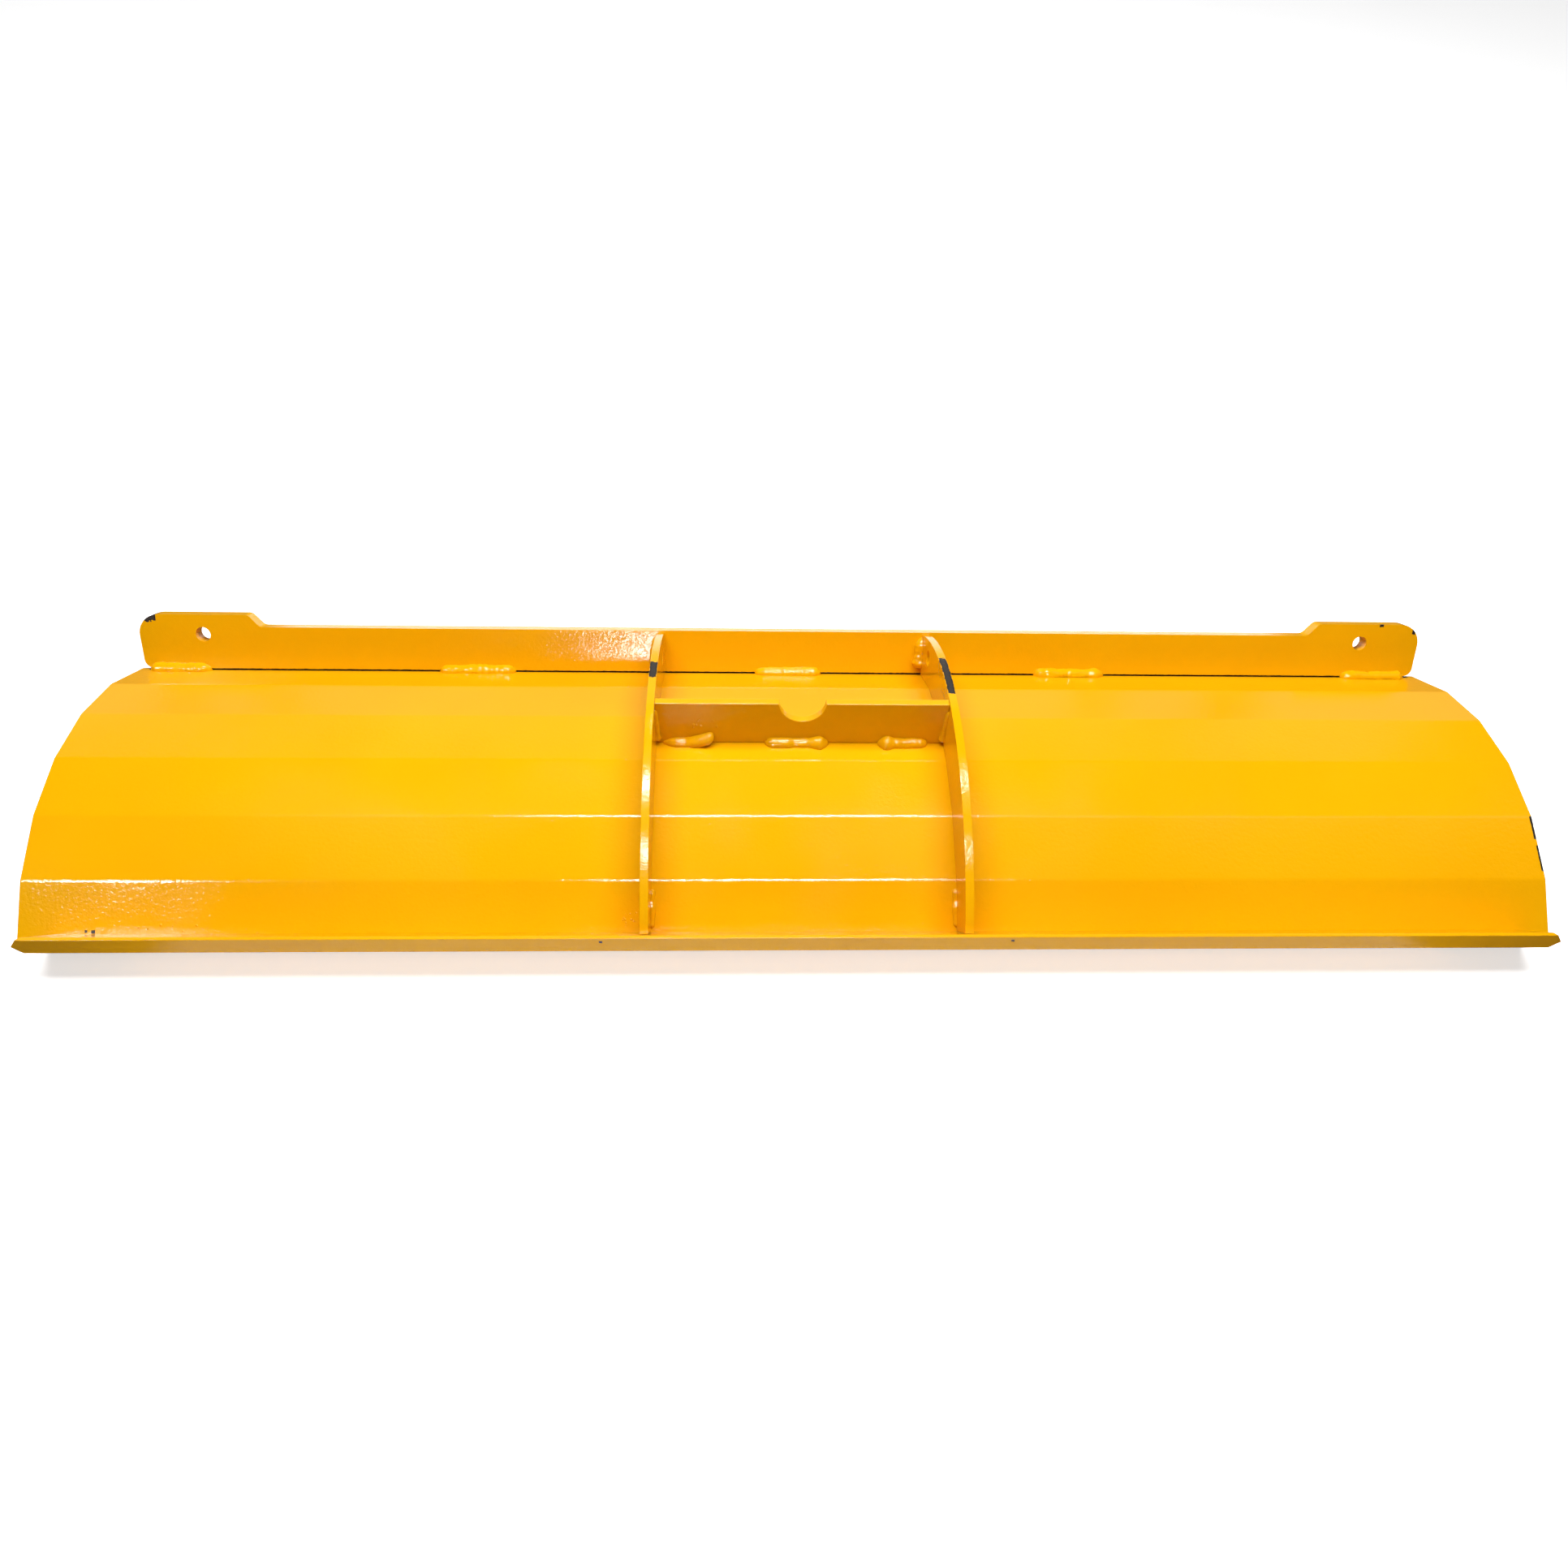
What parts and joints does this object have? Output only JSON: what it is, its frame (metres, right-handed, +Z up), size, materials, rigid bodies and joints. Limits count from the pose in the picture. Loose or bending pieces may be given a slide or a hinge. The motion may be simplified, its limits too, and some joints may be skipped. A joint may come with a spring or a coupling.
{
  "type": "skid steer bucket back",
  "caption": "Press-braked curved bucket back with a drilled top flange bar, a pointed bottom edge bar, arched ribs and a notched cross plate, welded into a rigid part.",
  "frame": {"origin": "middle of the footprint box on the surface the part rests on, hollow side down", "axes": "+X along the width, to the right seen from the bottom bar; +Y from the bottom bar to the top bar; +Z up, out of the convex back"},
  "size_m": [1.829, 0.5246, 0.1491],
  "materials": {
    "plate_paint": "glossy yellow enamel with light orange peel over hot-rolled steel plate",
    "weld_paint": "glossy yellow enamel over smooth fillet weld beads"
  },
  "bodies": {
    "root": {"bottom_bar": "plate_paint", "cross_plate": "plate_paint", "rib_left": "plate_paint", "rib_right": "plate_paint", "shell_plate": "plate_paint", "top_flange_bar": "plate_paint", "weld_cross_end_left": "weld_paint", "weld_cross_end_right": "weld_paint", "weld_cross_plate_1": "weld_paint", "weld_cross_plate_2": "weld_paint", "weld_cross_plate_3": "weld_paint", "weld_rib_foot_left_inner": "weld_paint", "weld_rib_foot_left_outer": "weld_paint", "weld_rib_foot_right_inner": "weld_paint", "weld_rib_foot_right_outer": "weld_paint", "weld_rib_top_left": "weld_paint", "weld_rib_top_right": "weld_paint", "weld_top_bar_1": "weld_paint", "weld_top_bar_2": "weld_paint", "weld_top_bar_3": "weld_paint", "weld_top_bar_4": "weld_paint", "weld_top_bar_5": "weld_paint"}
  },
  "joints": []
}
